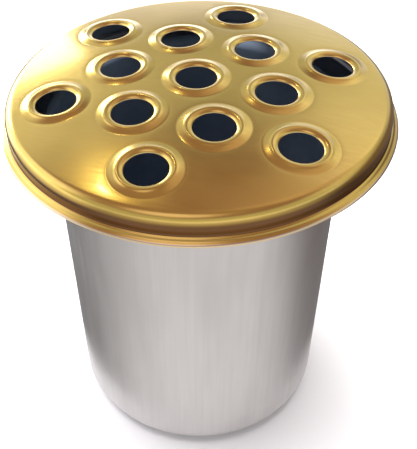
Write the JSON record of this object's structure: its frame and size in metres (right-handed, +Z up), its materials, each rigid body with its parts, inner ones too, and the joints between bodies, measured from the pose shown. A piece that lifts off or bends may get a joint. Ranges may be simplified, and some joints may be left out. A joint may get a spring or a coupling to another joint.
{
  "type": "memorial flower pot insert with pierced lid",
  "caption": "Tapered round metal pot with an out-turned flange and a domed lift-off lid pierced with rimmed holes that hold flower stems upright.",
  "frame": {"origin": "middle of the pot's base, on the surface it stands on", "axes": "+Z up along the pot's axis, towards the lid; +X through one of the six holes of the inner ring"},
  "size_m": [0.135, 0.135, 0.146],
  "materials": {
    "silver_aluminium": "drawn sheet, satin, clear anodised",
    "gold_aluminium": "pressed sheet, satin to bright, gold anodised"
  },
  "bodies": {
    "pot": {"pot": "silver_aluminium"},
    "lid": {"lid": "gold_aluminium"}
  },
  "joints": [
    {"name": "lid_lift", "type": "slide", "parent": "pot", "child": "lid", "axis": [0, 0, 1], "range_m": [0, 0.05]}
  ]
}
